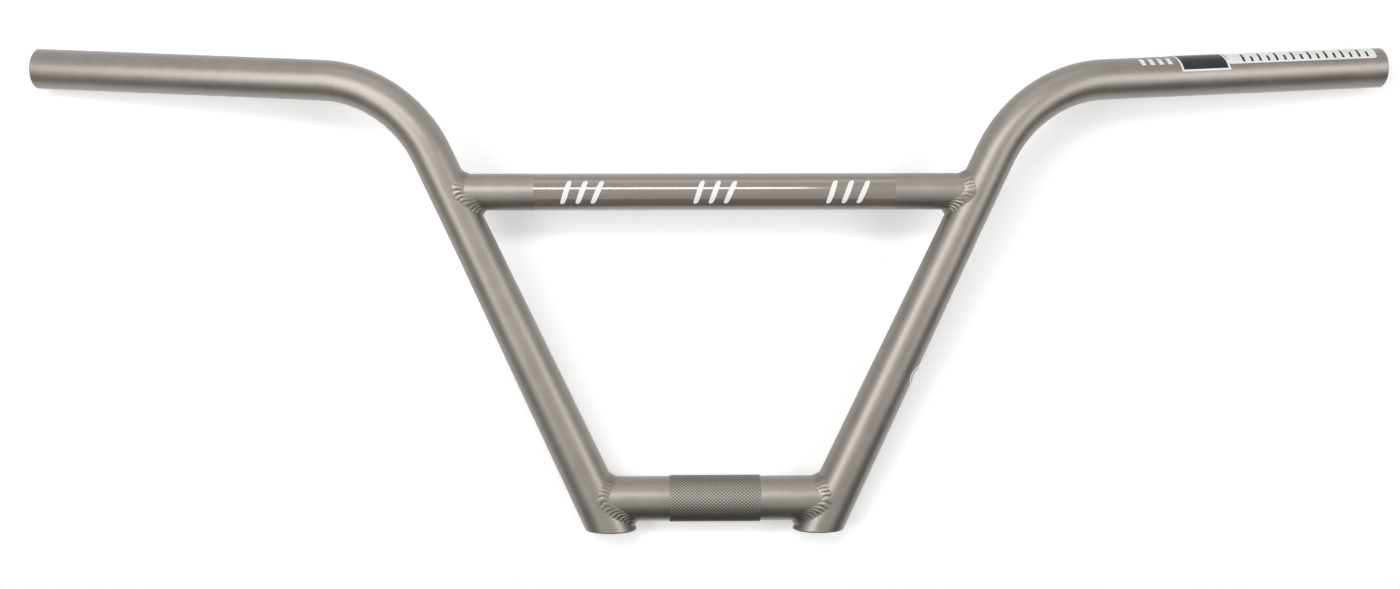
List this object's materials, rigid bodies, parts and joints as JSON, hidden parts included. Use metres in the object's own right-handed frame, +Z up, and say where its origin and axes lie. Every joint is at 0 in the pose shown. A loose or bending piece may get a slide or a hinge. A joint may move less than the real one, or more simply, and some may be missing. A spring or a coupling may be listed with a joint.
{
  "type": "bmx handlebar",
  "caption": "Welded BMX handlebar of bent steel tube with swept-back grips, tapered leaning risers, a crossbar and a knurled clamp tube for a stem.",
  "frame": {"origin": "middle of the knurled clamp seat, on the clamp tube's axis", "axes": "+X along the clamp tube to the rider's left, +Y back towards the rider, +Z up the rise"},
  "size_m": [0.7582, 0.064, 0.2657],
  "materials": {
    "coat": "satin",
    "film": "gloss"
  },
  "bodies": {
    "root": {"left_side_tube": "coat", "right_side_tube": "coat", "crossbar": "coat", "clamp_tube": "coat", "left_crossbar_weld": "coat", "right_crossbar_weld": "coat", "left_clamp_weld": "coat", "right_clamp_weld": "coat", "left_base_cap": "coat", "right_base_cap": "coat"}
  },
  "joints": []
}
